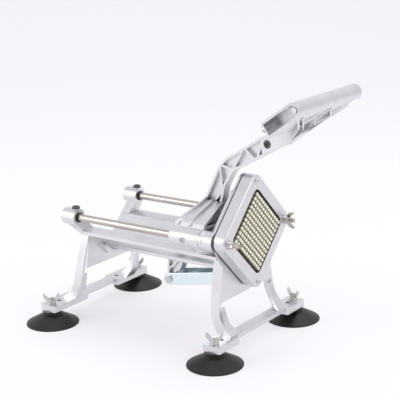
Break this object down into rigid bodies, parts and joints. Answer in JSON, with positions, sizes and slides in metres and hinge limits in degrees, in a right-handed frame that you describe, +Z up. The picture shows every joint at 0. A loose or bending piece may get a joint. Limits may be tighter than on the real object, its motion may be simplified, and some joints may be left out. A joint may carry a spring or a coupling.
{
  "type": "lever french fry cutter",
  "caption": "Cast aluminium lever french fry cutter with a sliding pusher carriage on twin guide rods, a V trough, a diamond blade grid and suction feet.",
  "frame": {"origin": "middle of the part's box at table level, under the cutter", "axes": "+X towards the blade grid, +Y to the cutter's left side, +Z up"},
  "size_m": [0.4264, 0.261, 0.3376],
  "materials": {
    "cast": "satin",
    "rod_steel": "polished",
    "bright_nickel": "polished",
    "dark_screws": "satin",
    "blade_steel": "polished",
    "bush_brass": "satin",
    "cream_plastic": "matte",
    "zinc_link": "satin",
    "black_rubber": "matte"
  },
  "bodies": {
    "frame": {"trough_right": "cast", "trough_left": "cast", "rear_bumpers": "black_rubber", "front_frame": "cast", "rear_frame": "cast", "trough_screws": "bright_nickel", "guide_rod_right": "rod_steel", "guide_rod_left": "rod_steel", "rod_nuts": "bright_nickel", "rod_washers": "bright_nickel", "clamp_screws": "dark_screws", "stop_collars": "bright_nickel", "blade_case": "cast", "blade_holder": "cast", "blades_across": "blade_steel", "blades_down": "blade_steel", "cover_screws": "bright_nickel", "case_washers": "bright_nickel", "foot_studs": "rod_steel", "foot_washers": "bright_nickel", "suction_cup_front_right": "black_rubber", "suction_cup_front_left": "black_rubber", "suction_cup_rear_right": "black_rubber", "suction_cup_rear_left": "black_rubber"},
    "carriage": {"carriage": "cast", "sleeve_bushes": "bush_brass", "sleeve_screws": "bright_nickel", "pusher_plate": "cast", "pusher_block": "cream_plastic", "pusher_screws": "bright_nickel", "pivot_pin": "rod_steel"},
    "lever": {"lever_arm": "cast", "lever_bush": "bush_brass", "handle": "cast", "handle_bolt": "dark_screws", "handle_nut": "bright_nickel", "grip_screws": "bright_nickel"},
    "link": {"link": "zinc_link", "link_rear_pin": "rod_steel", "link_front_pin": "rod_steel", "link_clips": "zinc_link"},
    "case_nut_right": {"case_wing_nut_right": "bright_nickel"},
    "case_nut_left": {"case_wing_nut_left": "bright_nickel"},
    "foot_nut_front_right": {"foot_wing_nut_front_right": "bright_nickel"},
    "foot_nut_front_left": {"foot_wing_nut_front_left": "bright_nickel"},
    "foot_nut_rear_right": {"foot_wing_nut_rear_right": "bright_nickel"},
    "foot_nut_rear_left": {"foot_wing_nut_rear_left": "bright_nickel"}
  },
  "joints": [
    {"name": "carriage_slide", "type": "slide", "parent": "frame", "child": "carriage", "axis": [-1, 0, 0], "range_m": [0, 0.15]},
    {"name": "lever_pivot", "type": "hinge", "parent": "carriage", "child": "lever", "pos_m": [0.04318, 0, 0.1505], "axis": [0, -1, 0], "range_deg": [0, 83.24]},
    {"name": "link_pivot", "type": "hinge", "parent": "lever", "child": "link", "pos_m": [-0.03172, 0, 0.066], "axis": [0, 1, 0], "range_deg": [0, 83.33]},
    {"name": "case_nut_right_turn", "type": "hinge", "parent": "frame", "child": "case_nut_right", "pos_m": [0.10528, -0.066, 0.1505], "axis": [1, 0, 0], "continuous": true},
    {"name": "case_nut_left_turn", "type": "hinge", "parent": "frame", "child": "case_nut_left", "pos_m": [0.10528, 0.066, 0.1505], "axis": [1, 0, 0], "continuous": true},
    {"name": "foot_nut_front_right_turn", "type": "hinge", "parent": "frame", "child": "foot_nut_front_right", "pos_m": [0.09928, -0.094, 0.029], "axis": [0, 0, 1], "continuous": true},
    {"name": "foot_nut_front_left_turn", "type": "hinge", "parent": "frame", "child": "foot_nut_front_left", "pos_m": [0.09928, 0.094, 0.029], "axis": [0, 0, 1], "continuous": true},
    {"name": "foot_nut_rear_right_turn", "type": "hinge", "parent": "frame", "child": "foot_nut_rear_right", "pos_m": [-0.17672, -0.094, 0.029], "axis": [0, 0, 1], "continuous": true},
    {"name": "foot_nut_rear_left_turn", "type": "hinge", "parent": "frame", "child": "foot_nut_rear_left", "pos_m": [-0.17672, 0.094, 0.029], "axis": [0, 0, 1], "continuous": true}
  ],
  "couplings": [
    {"joint": "lever_pivot", "follows": "carriage_slide", "rad_per_m": 9.6835},
    {"joint": "link_pivot", "follows": "carriage_slide", "rad_per_m": 9.6935}
  ]
}
